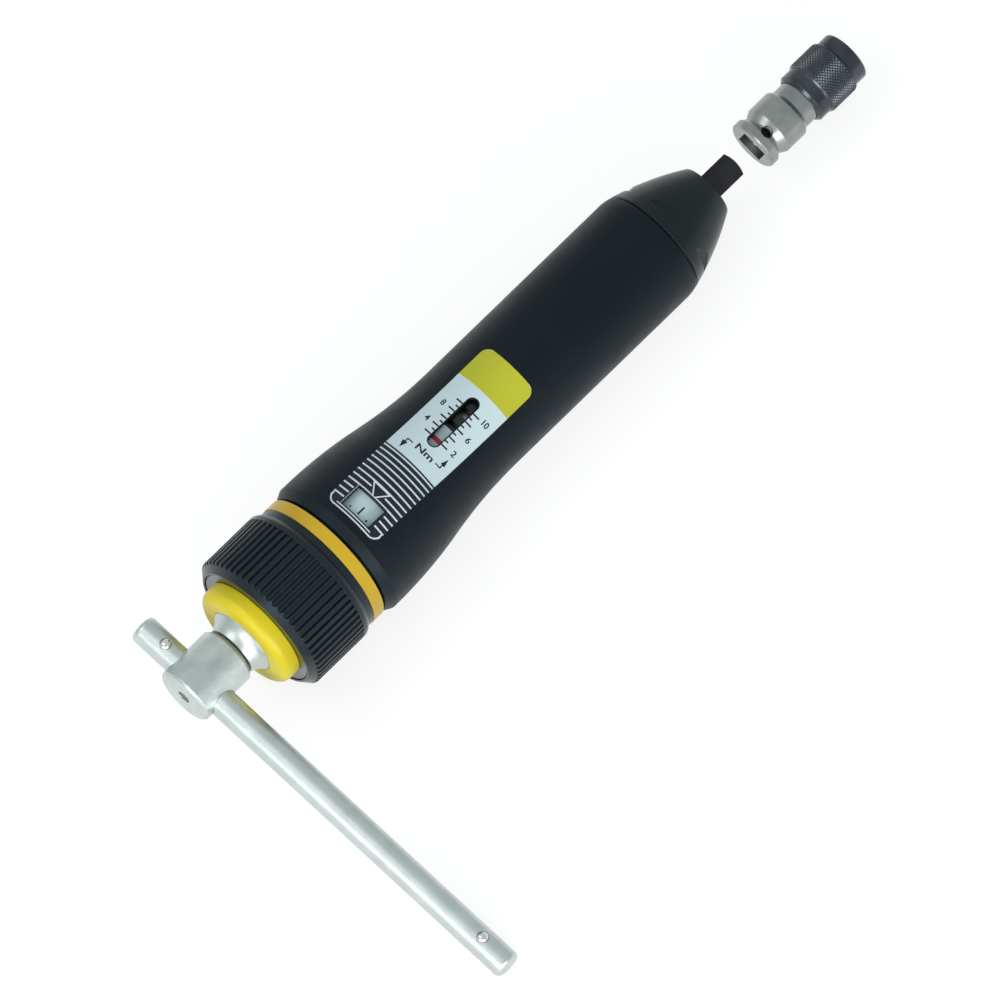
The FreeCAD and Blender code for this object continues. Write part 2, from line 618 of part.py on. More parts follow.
def turned_cut(body, name, corners):
    """Cuts an outline of (along the axis, radius), turned about the axis."""
    sketch = flat_sketch(body, f"{name}_outline", "XY_Plane")
    closed_outline(sketch, corners)
    groove = body.newObject("PartDesign::Groove", name)
    groove.Profile = sketch
    groove.ReferenceAxis = (origin_feature(body, "X_Axis"), [""])
    groove.Angle = 360
    return groove


# The handle, its label and its nose.
handle_body = turned("handle_body", [
    ("0", CHAMBER_RAD),
    (f"{CLIP_FRONT} - clip_thick - face_gap / 2", CHAMBER_RAD),
    (f"{CLIP_FRONT} - clip_thick - face_gap / 2", f"{CHAMBER_RAD} + clip_groove"),
    (f"{CLIP_FRONT} + face_gap / 2", f"{CHAMBER_RAD} + clip_groove"),
    (f"{CLIP_FRONT} + face_gap / 2", CHAMBER_RAD),
    ("chamber_len", CHAMBER_RAD),
    ("chamber_len", BORE_RAD),
    ("handle_len", BORE_RAD),
    ("handle_len", f"{LIP_RAD} - joint_bevel"),
    ("handle_len - joint_bevel", LIP_RAD),
    ("handle_len - lip_len", "barrel_rad", LIP_ARC, "hump"),
    ("flare_end", "barrel_rad"),
    ("(flare_start + flare_end) / 2", "(flange_rad + barrel_rad) / 2", FLARE_ARC, "hollow"),
    ("flare_start", "flange_rad", FLARE_ARC, "hump"),
    ("edge_bevel", "flange_rad"),
    ("0", EDGE_RAD),
])
extruded(handle_body, "handle_keyways", "Pocket", [
    (f"-({BORE_RAD} + keyway_deep)", "-keyway_wide / 2"),
    (f"{BORE_RAD} + keyway_deep", "-keyway_wide / 2"),
    (f"{BORE_RAD} + keyway_deep", "keyway_wide / 2"),
    (f"-({BORE_RAD} + keyway_deep)", "keyway_wide / 2"),
], "chamber_len - 2", f"{CAM_BASE} - chamber_len + 2")
label_recess = label_patch("label_recess", "-1", "label_deep", "0")
handle_openings = openings_cutter("handle_openings", "0", "0")
handle_cutter = joined("MultiFuse", "handle_cutter", label_recess, handle_openings)
handle_shell = joined("Cut", "handle_shell", handle_body, handle_cutter)
label_blank = label_patch("label_blank", "label_deep - label_thick", "label_deep", "(-seat_gap)")
label_openings = openings_cutter("label_openings", "window_margin", "slot_margin")
label_strip = joined("Cut", "label_strip", label_blank, label_openings)

nose_cap = turned("nose_cap", [
    (SPIGOT_FACE, "bush_rad"),
    (f"{NOSE_FACE} - lip_thick", "bush_rad"),
    (f"{NOSE_FACE} - lip_thick", f"{NECK_RAD} + run_gap"),
    (NOSE_FACE, f"{NECK_RAD} + run_gap"),
    (NOSE_FACE, "nose_front_rad"),
    ("handle_len + joint_bevel", NOSE_REAR_RAD, "nose_arc", "hump"),
    ("handle_len", f"{NOSE_REAR_RAD} - joint_bevel"),
    ("handle_len", f"{BORE_RAD} - seat_gap"),
    (SPIGOT_FACE, f"{BORE_RAD} - seat_gap"),
])
nose_flat = extruded(nose_cap, "nose_flat", "Pocket", [
    (f"-{NOSE_REAR_RAD} / 2", f"{NOSE_REAR_RAD} - flat_deep"),
    (f"{NOSE_REAR_RAD} / 2", f"{NOSE_REAR_RAD} - flat_deep"),
    (f"{NOSE_REAR_RAD} / 2", NOSE_REAR_RAD),
    (f"-{NOSE_REAR_RAD} / 2", NOSE_REAR_RAD),
], "handle_len + flat_start", "nose_len", clock="flat_clock")
patterned(nose_cap, "nose_flats", nose_flat, "flat_count")
front_bush = tube("front_bush", f"{SPIGOT_FACE} + face_gap", f"{NOSE_FACE} - lip_thick - face_gap",
                  f"{JOURNAL_RAD} + run_gap", "bush_rad - seat_gap")

# The spindle that the T-handle drives, and what is fixed to it and to the handle.
core_spindle = turned("core_spindle", [
    (HUB_REAR, "0"),
    (HUB_REAR, "hub_mouth_rad"),
    (f"{HUB_REAR} + hub_flare", "hub_rad", "hub_flare_arc", "hollow"),
    (HUB_FRONT, "hub_rad"),
    (HUB_FRONT, SPINDLE_RAD),
    (f"{TUBE_FRONT} + face_gap / 2", SPINDLE_RAD),
    (f"{TUBE_FRONT} + face_gap / 2", f"{SPINDLE_RAD} - clip_groove"),
    (f"{TUBE_FRONT} + clip_thick + face_gap * 3 / 2", f"{SPINDLE_RAD} - clip_groove"),
    (f"{TUBE_FRONT} + clip_thick + face_gap * 3 / 2", SPINDLE_RAD),
    (f"{SPINDLE_FRONT} - hex_len", SPINDLE_RAD),
    (f"{SPINDLE_FRONT} - hex_len", "0"),
])
extruded(core_spindle, "spindle_hexagon", "Pad", hexagon_corners(SPINDLE_HEX),
         f"{SPINDLE_FRONT} - hex_len - 1", "hex_len + 1")
extruded(core_spindle, "hub_socket", "Pocket", square_corners(SOCKET_AF), HUB_REAR,
         "tang_len + hub_spare", clock="tee_clock")
spindle_circlip = circlip("spindle_circlip", f"({TUBE_FRONT} + face_gap)",
                          f"({SPINDLE_RAD} - clip_groove)", f"({SPINDLE_RAD} + clip_wide)", "1.5")
friction_plate = tube("friction_plate", PLATE_REAR, f"{PLATE_REAR} + friction_thick",
                      "hub_rad + seat_gap", PLATE_RAD)
bearing_plate = tube("bearing_plate", "chamber_len - plate_thick", "chamber_len",
                     f"{TUBE_RAD} + run_gap", f"{CHAMBER_RAD} - seat_gap")
shell_circlip = circlip("shell_circlip", f"({CLIP_FRONT} - clip_thick)", f"({CHAMBER_RAD} - clip_wide)",
                        f"({CHAMBER_RAD} + clip_groove - seat_gap)", "1.5")
thrust_washer = tube("thrust_washer", f"{CAM_FRONT} + face_gap", SPIGOT_FACE,
                     f"{JOURNAL_RAD} + run_gap", f"{BORE_RAD} - seat_gap")

# The setting ring and what turns with it.
setting_ring = turned("setting_ring", [
    (WEB_REAR, "hub_rad + run_gap"),
    (WEB_FRONT, "hub_rad + run_gap"),
    (WEB_FRONT, RING_BORE),
    ("ring_spigot", RING_BORE),
    ("ring_spigot", SPIGOT_RAD),
    ("-band_end", SPIGOT_RAD),
    ("-band_end", BAND_SEAT),
    ("-band_start", BAND_SEAT),
    ("-band_start", RING_NECK),
    ("-neck_start", RING_NECK),
    ("-shoulder_start", RING_RAD, "2 * (shoulder_start - neck_start)", "hump"),
    ("-ring_rear + ring_bevel", RING_RAD),
    ("-ring_rear", RING_FACE),
    ("-ring_rear", PLATE_BORE),
    (WEB_REAR, PLATE_BORE),
])
ring_groove = extruded(setting_ring, "ring_groove", "Pocket", [
    ("-groove_wide / 2", f"{RING_RAD} - rib_deep"),
    ("groove_wide / 2", f"{RING_RAD} - rib_deep"),
    ("groove_wide / 2 + rib_deep", f"{RING_RAD} + rib_deep"),
    ("-groove_wide / 2 - rib_deep", f"{RING_RAD} + rib_deep"),
], "-ring_rear - 1", "ring_rear - shoulder_start")
patterned(setting_ring, "ring_grooves", ring_groove, "rib_count")
ring_thread = extruded(setting_ring, "ring_thread", "Pocket",
                       lambda sketch: pinned_circle(sketch, "screw_rad + seat_gap", y=SCREW_CIRCLE),
                       f"{WEB_FRONT} - screw_deep", "screw_deep")
patterned(setting_ring, "ring_threads", ring_thread, "screw_count")
colour_band = tube("colour_band", "-band_start + seat_gap", "-band_end", f"{BAND_SEAT} + seat_gap",
                   BAND_RAD)
setting_sleeve = turned("setting_sleeve", [
    (WEB_FRONT, f"{SPINDLE_RAD} + run_gap"),
    (TUBE_FRONT, f"{SPINDLE_RAD} + run_gap"),
    (TUBE_FRONT, TUBE_RAD),
    (FLANGE_FRONT, TUBE_RAD),
    (FLANGE_FRONT, SLEEVE_FLANGE),
    (WEB_FRONT, SLEEVE_FLANGE),
])
sleeve_hole = extruded(setting_sleeve, "sleeve_hole", "Pocket",
                       lambda sketch: pinned_circle(sketch, "screw_rad + run_gap", y=SCREW_CIRCLE),
                       WEB_FRONT, "flange_thick")
patterned(setting_sleeve, "sleeve_holes", sleeve_hole, "screw_count")
ring_screws = [
    turned(f"ring_screw_{number}", [
        (f"{WEB_FRONT} - screw_deep + face_gap", "0"),
        (f"{WEB_FRONT} - screw_deep + face_gap", "screw_rad"),
        (FLANGE_FRONT, "screw_rad"),
        (FLANGE_FRONT, "screw_head_rad"),
        (f"{FLANGE_FRONT} + screw_head", "screw_head_rad"),
        (f"{FLANGE_FRONT} + screw_head", "0"),
    ])
    for number in range(1, int(value("screw_count")) + 1)
]
for number, screw in enumerate(ring_screws, 1):
    extruded(screw, f"screw_socket_{number}", "Pocket", hexagon_corners("screw_rad * 2"),
             f"{FLANGE_FRONT} + screw_head / 3", "screw_head")
scale_drum = turned("scale_drum", [
    ("drum_start", f"{DRUM_RAD} - drum_wall"),
    ("drum_start + drum_len - drum_wall", f"{DRUM_RAD} - drum_wall"),
    ("drum_start + drum_len - drum_wall", f"{TUBE_RAD} + drum_hub_wall"),
    ("drum_start + drum_len - drum_hub_len", f"{TUBE_RAD} + drum_hub_wall"),
    ("drum_start + drum_len - drum_hub_len", f"{TUBE_RAD} + seat_gap"),
    ("drum_start + drum_len", f"{TUBE_RAD} + seat_gap"),
    ("drum_start + drum_len", DRUM_RAD),
    ("drum_start", DRUM_RAD),
])
thrust_collar = tube("thrust_collar", "chamber_len + face_gap",
                     "chamber_len + face_gap + collar_thick", f"{TUBE_RAD} + seat_gap", COLLAR_RAD)

# The lock nut behind the ring.
lock_nut = turned("lock_nut", [
    (LOCK_REAR, "hub_rad + run_gap"),
    (f"{LOCK_REAR} + lock_thick", "hub_rad + run_gap"),
    (f"{LOCK_REAR} + lock_thick", LOCK_RAD),
    (f"{LOCK_REAR} + lock_round", LOCK_RAD),
    (LOCK_REAR, f"{LOCK_RAD} - lock_round", "lock_round", "hump"),
])

# The travelling nut and the spring that it loads.
LUGS = [
    (f"-({BORE_RAD} + keyway_deep - lug_room)", "-(keyway_wide / 2 - lug_room)"),
    (f"{BORE_RAD} + keyway_deep - lug_room", "-(keyway_wide / 2 - lug_room)"),
    (f"{BORE_RAD} + keyway_deep - lug_room", "keyway_wide / 2 - lug_room"),
    (f"-({BORE_RAD} + keyway_deep - lug_room)", "keyway_wide / 2 - lug_room"),
]
thrust_nut = turned("thrust_nut", [
    ("nut_start", "0"),
    (NUT_FRONT, "0"),
    (NUT_FRONT, f"{INDICATOR_BORE} - seat_gap"),
    ("nut_start + nut_flange", f"{INDICATOR_BORE} - seat_gap"),
    ("nut_start + nut_flange", f"{BORE_RAD} - run_gap"),
    ("nut_start", f"{BORE_RAD} - run_gap"),
])
extruded(thrust_nut, "nut_lugs", "Pad", LUGS, "nut_start", "nut_flange")
extruded(thrust_nut, "nut_bore", "Pocket", lambda sketch: pinned_circle(sketch, f"{TUBE_RAD} + run_gap"),
         "nut_start", "nut_len")
indicator_sleeve = tube("indicator_sleeve", "nut_start + nut_flange + face_gap", NUT_FRONT,
                        INDICATOR_BORE, f"{BORE_RAD} - run_gap")
rear_seat = tube("rear_seat", NUT_FRONT, f"{NUT_FRONT} + seat_thick", f"{TUBE_RAD} + run_gap",
                 f"{BORE_RAD} - run_gap")
main_spring = coil("main_spring", f"({NUT_FRONT} + seat_thick)", f"({PRESSURE_REAR} - seat_thick)",
                   SPRING_RAD, "spring_wire", "spring_pitch", "spring_back")
front_seat = tube("front_seat", f"{PRESSURE_REAR} - seat_thick", PRESSURE_REAR,
                  f"{SPINDLE_RAD} + run_gap", f"{BORE_RAD} - run_gap")

# The clutch: two cams with helical teeth that ride over each other at the set torque.
pressure_disc = turned("pressure_disc", [
    (PRESSURE_REAR, "0"),
    (PRESSURE_BASE, "0"),
    (PRESSURE_BASE, CAM_RAD),
    (PRESSURE_REAR, CAM_RAD),
])
extruded(pressure_disc, "pressure_lugs", "Pad", LUGS, PRESSURE_REAR, "pressure_thick")
extruded(pressure_disc, "pressure_bore", "Pocket", hexagon_corners(f"({SPINDLE_HEX} + 2 * run_gap)"),
         PRESSURE_REAR, "pressure_thick")
pressure_teeth = feature_from("pressure_teeth", cam_teeth(PRESSURE_BASE, True))
pressure_cam = joined("MultiFuse", "pressure_cam", pressure_disc, pressure_teeth)
drive_disc = turned("drive_disc", [
    (CAM_BASE, "0"),
    (CAM_FRONT, "0"),
    (CAM_FRONT, CAM_RAD),
    (CAM_BASE, CAM_RAD),
])
extruded(drive_disc, "drive_bore", "Pocket", hexagon_corners(f"({SHAFT_HEX} + 2 * seat_gap)"),
         CAM_BASE, "cam_thick")
drive_teeth = feature_from("drive_teeth", cam_teeth(CAM_BASE, False))
drive_cam = joined("MultiFuse", "drive_cam", drive_disc, drive_teeth)
output_shaft = turned("output_shaft", [
    (CAM_FRONT, "0"),
    (CAM_FRONT, JOURNAL_RAD),
    (f"{NOSE_FACE} - lip_thick - face_gap", JOURNAL_RAD),
    (f"{NOSE_FACE} - lip_thick - face_gap", NECK_RAD),
    (NOSE_FACE, NECK_RAD),
    (NOSE_FACE, "0"),
])
extruded(output_shaft, "shaft_hexagon", "Pad", hexagon_corners(SHAFT_HEX), CAM_BASE, "cam_thick + 1",
         clock="180 - drive_clock")
extruded(output_shaft, "drive_square", "Pad", square_corners("drive_af"), f"{NOSE_FACE} - 1",
         "drive_len + 1")
turned_cut(output_shaft, "drive_tip", [
    (DRIVE_TIP, "drive_face"),
    (f"{DRIVE_TIP} + 1", "drive_face"),
    (f"{DRIVE_TIP} + 1", NECK_RAD),
    (f"{DRIVE_TIP} - drive_bevel", NECK_RAD),
])
DRIVE_BALL = f"({NOSE_FACE} + face_gap + cross_at)"
ball_well(output_shaft, "drive_ball_well", DRIVE_BALL, "(drive_af / 2)", "pin_ball_rad", PIN_BALL_DEEP,
          "pin_ball_lip", "pin_ball_well")
drive_ball = sphere("drive_ball", "pin_ball_rad")

# The T-handle, drawn from the rear face of its head.
tee_head = turned("tee_head", [
    ("centre_deep", "0"),
    ("centre_deep", "centre_rad"),
    ("0", "centre_rad"),
    ("0", "tee_rad - tee_bevel / 2"),
    ("tee_bevel / 2", "tee_rad"),
    ("tee_len - tee_bevel", "tee_rad"),
    ("tee_len", "tee_rad - tee_bevel"),
    ("tee_len", "0"),
])
extruded(tee_head, "tee_tang", "Pad", square_corners("drive_af"), "tee_len - 1",
         "1 + tee_gap + tang_len")
extruded(tee_head, "tee_bore", "Pocket",
         lambda sketch: pinned_circle(sketch, "bar_rad + run_gap", x="tee_hole"),
         "-tee_rad - 1", "2 * tee_rad + 2", role="XZ_Plane")
TANG_BALL = "(tee_len + tee_gap + tang_len / 2)"
ball_well(tee_head, "tang_ball_well", TANG_BALL, "(drive_af / 2)", "pin_ball_rad", PIN_BALL_DEEP,
          "pin_ball_lip", "pin_ball_well")
tang_ball = sphere("tang_ball", "pin_ball_rad")
tee_bar = turned("tee_bar", [
    ("-bar_near", "0"),
    ("-bar_near", "bar_rad - bar_round"),
    ("-bar_near + bar_round", "bar_rad", "bar_round", "hump"),
    ("bar_far - bar_round", "bar_rad"),
    ("bar_far", "bar_rad - bar_round", "bar_round", "hump"),
    ("bar_far", "0"),
])
for side, station in [("near", f"(-{NEAR_BALL})"), ("far", FAR_BALL)]:
    ball_well(tee_bar, f"{side}_ball_well", station, "bar_rad", "ball_rad", BALL_DEEP, "ball_lip",
              "ball_well")
near_ball = sphere("near_ball", "ball_rad")
far_ball = sphere("far_ball", "ball_rad")

# The adapter, drawn from its rear face.
adapter_body = turned("adapter_body", [
    ("0", "0"),
    ("0", "adapter_rad - 0.4"),
    ("0.35", "adapter_rad - 0.05"),
    ("rim_len", "adapter_rad - 0.05"),
    ("cross_at", GROOVE_RAD),
    ("cross_at + 0.5", GROOVE_RAD),
    ("groove_end", "adapter_rad"),
    ("body_end", "adapter_rad"),
    ("neck_end", ADAPTER_NECK),
    (f"{SLEEVE_START} + sleeve_lip", ADAPTER_NECK),
    (f"{SLEEVE_START} + sleeve_lip", INNER_NECK),
    ("adapter_len - 0.3", INNER_NECK),
    ("adapter_len - 0.3", "0"),
])
extruded(adapter_body, "adapter_square", "Pocket", square_corners(SOCKET_AF), "0",
         "drive_len + adapter_spare")
extruded(adapter_body, "adapter_hexagon", "Pocket", hexagon_corners("bit_af"),
         "adapter_len - bit_deep", "bit_deep")
extruded(adapter_body, "adapter_cross", "Pocket",
         lambda sketch: pinned_circle(sketch, "cross_rad", x="cross_at"),
         "-adapter_rad - 1", "2 * adapter_rad + 2", role="XY_Plane")
extruded(adapter_body, "bit_ball_hole", "Pocket",
         lambda sketch: pinned_circle(sketch, "pin_ball_rad + run_gap / 2", x=BIT_BALL),
         "0", "adapter_rad", role="XY_Plane")
bit_ball = sphere("bit_ball", "pin_ball_rad")
adapter_sleeve = turned("adapter_sleeve", [
    (SLEEVE_START, f"{ADAPTER_NECK} + run_gap"),
    (f"{SLEEVE_START} + sleeve_lip", f"{ADAPTER_NECK} + run_gap"),
    (f"{SLEEVE_START} + sleeve_lip", SLEEVE_BORE),
    (LAND_START, SLEEVE_BORE),
    (LAND_START, f"{INNER_NECK} + run_gap"),
    (LAND_END, f"{INNER_NECK} + run_gap"),
    (LAND_END, SLEEVE_BORE),
    ("adapter_len - front_lip", SLEEVE_BORE),
    ("adapter_len - front_lip", f"{INNER_NECK} + run_gap"),
    ("adapter_len", f"{INNER_NECK} + run_gap"),
    ("adapter_len", f"{FRONT_BAND_RAD} - sleeve_bevel"),
    ("adapter_len - sleeve_bevel", FRONT_BAND_RAD, "sleeve_bevel", "hump"),
    (KNURL_END, FRONT_BAND_RAD),
    (f"{KNURL_END} - knurl_bevel", KNURL_RAD),
    (f"{KNURL_START} + knurl_bevel", KNURL_RAD),
    (KNURL_START, SLEEVE_RAD),
    (f"{SLEEVE_START} + sleeve_bevel", SLEEVE_RAD),
    (SLEEVE_START, f"{SLEEVE_RAD} - sleeve_bevel"),
])
STOP_REAR = f"({SLEEVE_START} + sleeve_lip + face_gap)"
stop_ring = tube("stop_ring", STOP_REAR, f"{STOP_REAR} + stop_thick", f"{INNER_NECK} + seat_gap",
                 f"{SLEEVE_BORE} - run_gap")
sleeve_spring = coil("sleeve_spring", f"({STOP_REAR} + stop_thick)", LAND_START,
                     f"({SLEEVE_BORE} - 0.15)", "sleeve_wire", "sleeve_pitch", "sleeve_pitch")

# Where each piece sits in the tool's frame.
AXIS = Vector(1, 0, 0)
TOOL = Placement()
OUTPUT = Placement(Vector(), Rotation(AXIS, value("drive_clock + 180")))
TEE = Placement(Vector(value(f"{TEE_FACE} - tee_len"), 0, 0), Rotation(AXIS, value("tee_clock")))
BAR = TEE * Placement(Vector(value("tee_hole"), 0, 0), Rotation(Vector(0, 0, 1), -90))
ADAPTER = Placement(Vector(value(f"{DRIVE_TIP} + adapter_apart"), 0, 0),
                    Rotation(AXIS, value("drive_clock")))


def at(frame, station, height):
    return frame * Placement(Vector(value(station), 0, value(height)), Rotation())


frames = [(piece, TOOL) for piece in (
    handle_shell, label_strip, nose_cap, front_bush, core_spindle, spindle_circlip, friction_plate,
    bearing_plate, shell_circlip, thrust_washer, setting_ring, colour_band, setting_sleeve,
    scale_drum, thrust_collar, lock_nut, thrust_nut, indicator_sleeve, rear_seat, main_spring,
    front_seat, pressure_cam, drive_cam,
)]
for number, screw in enumerate(ring_screws):
    clock = Rotation(AXIS, 360 / len(ring_screws) * number)
    frames.append((screw, Placement(clock.multVec(Vector(0, 0, value(SCREW_CIRCLE))), clock)))
frames += [
    (output_shaft, OUTPUT),
    (drive_ball, at(OUTPUT, DRIVE_BALL, f"drive_af / 2 - {PIN_BALL_DEEP}")),
    (tee_head, TEE),
    (tang_ball, at(TEE, TANG_BALL, f"drive_af / 2 - {PIN_BALL_DEEP}")),
    (tee_bar, BAR),
    (near_ball, at(BAR, f"-{NEAR_BALL}", f"bar_rad - {BALL_DEEP}")),
    (far_ball, at(BAR, FAR_BALL, f"bar_rad - {BALL_DEEP}")),
    (adapter_body, ADAPTER),
    (bit_ball, at(ADAPTER, BIT_BALL, f"{INNER_NECK} + run_gap * 3 / 4 - pin_ball_rad")),
    (adapter_sleeve, ADAPTER),
    (stop_ring, ADAPTER),
    (sleeve_spring, ADAPTER),
]

# How the tool comes to rest. Its outline bears on the floor with the arc behind the barrel's front
# edge and the arc in front of the flange; the far end of the T-bar is the third foot.
rear_arc, front_arc = value(FLARE_ARC), value(LIP_ARC)
rear_foot = Vector(value("flare_start"), value("flange_rad") - rear_arc, 0)
front_foot = Vector(value("handle_len - lip_len"), value("barrel_rad") - front_arc, 0)
between = front_foot - rear_foot
pitch = math.atan2(between.x, between.y) - math.acos((rear_arc - front_arc) / between.Length)
axis_rise = rear_foot.x * math.sin(pitch) + rear_foot.y * math.cos(pitch) + rear_arc
bar_rise = axis_rise - value(f"{TEE_FACE} - tee_len + tee_hole") * math.sin(pitch)
reach = value("bar_far - bar_round")
side = value("bar_rad - bar_round")
drop = (bar_rise - value("bar_round")) / math.cos(pitch)
dip = math.asin(drop / math.hypot(reach, side)) - math.atan2(side, reach)
roll = Rotation(AXIS, math.degrees(dip) - value("tee_clock"))
lean = Rotation(Vector(0, 1, 0), math.degrees(pitch))
rest = Placement(Vector(0, 0, axis_rise), lean * roll)

for piece, frame in frames:
    piece.Placement = rest * frame
doc.recompute()

bounds = FreeCAD.BoundBox()
for piece in (tee_head, tee_bar, handle_shell, adapter_sleeve):
    bounds.add(piece.Shape.optimalBoundingBox())
middle = Vector((bounds.XMin + bounds.XMax) / 2, (bounds.YMin + bounds.YMax) / 2, bounds.ZMin)
for piece, frame in frames:
    piece.Placement = Placement(-middle, Rotation()) * rest * frame
doc.recompute()

faulty = [item.Name for item in doc.Objects if {"Invalid", "Error"} & set(item.State)]
if faulty:
    raise RuntimeError("features that failed: " + ", ".join(faulty))
os.makedirs("parts", exist_ok=True)
for piece, frame in frames:
    if piece.Shape.isNull() or not piece.Shape.isValid():
        raise RuntimeError("no valid shape: " + piece.Label)
    piece.Shape.exportStep(f"parts/{piece.Label}.step")
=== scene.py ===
import json
import math

import bmesh
import bpy
from mathutils import Matrix, Vector
from mathutils.bvhtree import BVHTree


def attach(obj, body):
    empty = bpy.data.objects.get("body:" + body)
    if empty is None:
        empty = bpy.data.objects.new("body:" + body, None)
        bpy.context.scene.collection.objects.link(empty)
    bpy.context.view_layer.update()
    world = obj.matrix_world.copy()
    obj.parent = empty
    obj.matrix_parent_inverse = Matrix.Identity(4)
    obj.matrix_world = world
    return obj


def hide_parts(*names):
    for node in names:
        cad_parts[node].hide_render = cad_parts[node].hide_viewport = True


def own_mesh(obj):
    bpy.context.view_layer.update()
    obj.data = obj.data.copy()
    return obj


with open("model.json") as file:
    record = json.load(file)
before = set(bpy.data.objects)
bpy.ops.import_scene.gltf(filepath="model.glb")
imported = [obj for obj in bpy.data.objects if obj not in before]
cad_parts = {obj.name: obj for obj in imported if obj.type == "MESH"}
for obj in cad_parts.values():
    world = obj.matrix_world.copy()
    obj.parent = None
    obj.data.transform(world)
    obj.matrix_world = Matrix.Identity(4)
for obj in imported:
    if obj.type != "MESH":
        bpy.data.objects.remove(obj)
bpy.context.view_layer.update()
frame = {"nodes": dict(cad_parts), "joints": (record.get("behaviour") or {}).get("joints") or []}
nodes = frame["nodes"]
joints = {joint["name"]: joint for joint in frame["joints"]}
MM = 0.001

# The tool's own frame. Stations run along its axis in millimetres, from the handle's rear edge.
AXIS = Vector(joints["ring_turn"]["axis"]).normalized()
ORIGIN = Vector(joints["ring_turn"]["pos_m"])
BAR_UP = Vector(joints["near_ball_press"]["axis"])
TEE_CLOCK, DRIVE_CLOCK = math.radians(3.0), math.radians(8.5)
LABEL_UP = (Matrix.Rotation(TEE_CLOCK, 3, AXIS) @ BAR_UP).normalized()
LABEL_SIDE = LABEL_UP.cross(AXIS).normalized()
DRIVE_UP = Matrix.Rotation(DRIVE_CLOCK, 3, AXIS) @ LABEL_UP
ADAPTER_REAR = 138.45


def on_axis(station):
    return ORIGIN + AXIS * station * MM


def round_axis(station, radius, angle):
    """Point at an angle about the axis, counted from the middle of the label towards its side."""
    out = LABEL_UP * math.cos(angle) + LABEL_SIDE * math.sin(angle)
    return on_axis(station) + out * radius * MM


# Materials, as small steps in a shader's node tree.

class Shader:
    def __init__(self, name, **sockets):
        self.material = bpy.data.materials.new(name)
        self.material.use_nodes = True
        self.tree = self.material.node_tree
        self.bsdf = next(n for n in self.tree.nodes if n.type == "BSDF_PRINCIPLED")
        self.place = self.node("ShaderNodeTexCoord").outputs["Object"]
        self.normal = None
        for socket, number in sockets.items():
            self.bsdf.inputs[socket.replace("_", " ")].default_value = number

    def node(self, kind, **settings):
        made = self.tree.nodes.new(kind)
        for name, setting in settings.items():
            setattr(made, name, setting)
        return made

    def feed(self, socket, source):
        if isinstance(source, bpy.types.NodeSocket):
            self.tree.links.new(source, socket)
        else:
            socket.default_value = source

    def math(self, operation, first, second=0.0):
        made = self.node("ShaderNodeMath", operation=operation)
        self.feed(made.inputs[0], first)
        self.feed(made.inputs[1], second)
        return made.outputs[0]

    def along(self, direction, start):
        """Distance in millimetres from start, along a direction."""
        here = self.node("ShaderNodeVectorMath", operation="SUBTRACT")
        self.feed(here.inputs[0], self.place)
        self.feed(here.inputs[1], tuple(start))
        dot = self.node("ShaderNodeVectorMath", operation="DOT_PRODUCT")
        self.feed(dot.inputs[0], here.outputs["Vector"])
        self.feed(dot.inputs[1], tuple(direction))
        return self.math("MULTIPLY", dot.outputs["Value"], 1 / MM)

    def noise(self, size, detail=2.0, roughness=0.5):
        """Noise from 0 to 1 with grains of about size millimetres."""
        made = self.node("ShaderNodeTexNoise")
        self.feed(made.inputs["Vector"], self.place)
        self.feed(made.inputs["Scale"], 1 / (size * MM))
        self.feed(made.inputs["Detail"], detail)
        self.feed(made.inputs["Roughness"], roughness)
        return made.outputs["Fac"]

    def rings(self, size, direction=AXIS, detail=3.0):
        """Marks that a turning tool leaves, about size millimetres apart along the axis."""
        made = self.node("ShaderNodeTexNoise", noise_dimensions="1D")
        self.feed(made.inputs["W"], self.along(direction, ORIGIN))
        self.feed(made.inputs["Scale"], 1 / size)
        self.feed(made.inputs["Detail"], detail)
        return made.outputs["Fac"]

    def grains(self, size):
        """Distance to the nearest of many small grains, for a blasted or sparkling skin."""
        made = self.node("ShaderNodeTexVoronoi", feature="SMOOTH_F1")
        self.feed(made.inputs["Vector"], self.place)
        self.feed(made.inputs["Scale"], 1 / (size * MM))
        return made.outputs["Distance"]

    def spread(self, source, low, high, to_low, to_high):
        made = self.node("ShaderNodeMapRange")
        for socket, number in zip(made.inputs, (source, low, high, to_low, to_high)):
            self.feed(socket, number)
        return made.outputs[0]

    def mix(self, factor, first, second):
        made = self.node("ShaderNodeMix", data_type="RGBA")
        self.feed(made.inputs[0], factor)
        self.feed(made.inputs[6], first)
        self.feed(made.inputs[7], second)
        return made.outputs[2]

    def soften(self, radius):
        """Rounds the edges to the eye, by radius millimetres."""
        made = self.node("ShaderNodeBevel", samples=4)
        self.feed(made.inputs["Radius"], radius * MM)
        self.normal = made.outputs["Normal"]

    def bump(self, height, depth, strength=1.0):
        """Adds relief of depth millimetres to what is there already."""
        made = self.node("ShaderNodeBump")
        self.feed(made.inputs["Strength"], strength)
        self.feed(made.inputs["Distance"], depth * MM)
        self.feed(made.inputs["Height"], height)
        if self.normal:
            self.tree.links.new(self.normal, made.inputs["Normal"])
        self.normal = made.outputs["Normal"]
        self.feed(self.bsdf.inputs["Normal"], self.normal)

    def rough(self, source):
        self.feed(self.bsdf.inputs["Roughness"], source)

    def colour(self, source):
        self.feed(self.bsdf.inputs["Base Color"], source)


def rgb(*values):
    """Linear colour from sRGB values of 0 to 255."""
    def linear(value):
        value /= 255
        return value / 12.92 if value <= 0.04045 else ((value + 0.055) / 1.055) ** 2.4
    return tuple(linear(value) for value in values) + (1.0,)


NOISE_SPAN = (0.3, 0.7)     # where most of a noise lies
PLAIN = (1, 1, 1, 1)
COOL = (0.7, 0.9, 1, 1)     # the black pieces shine a little blue


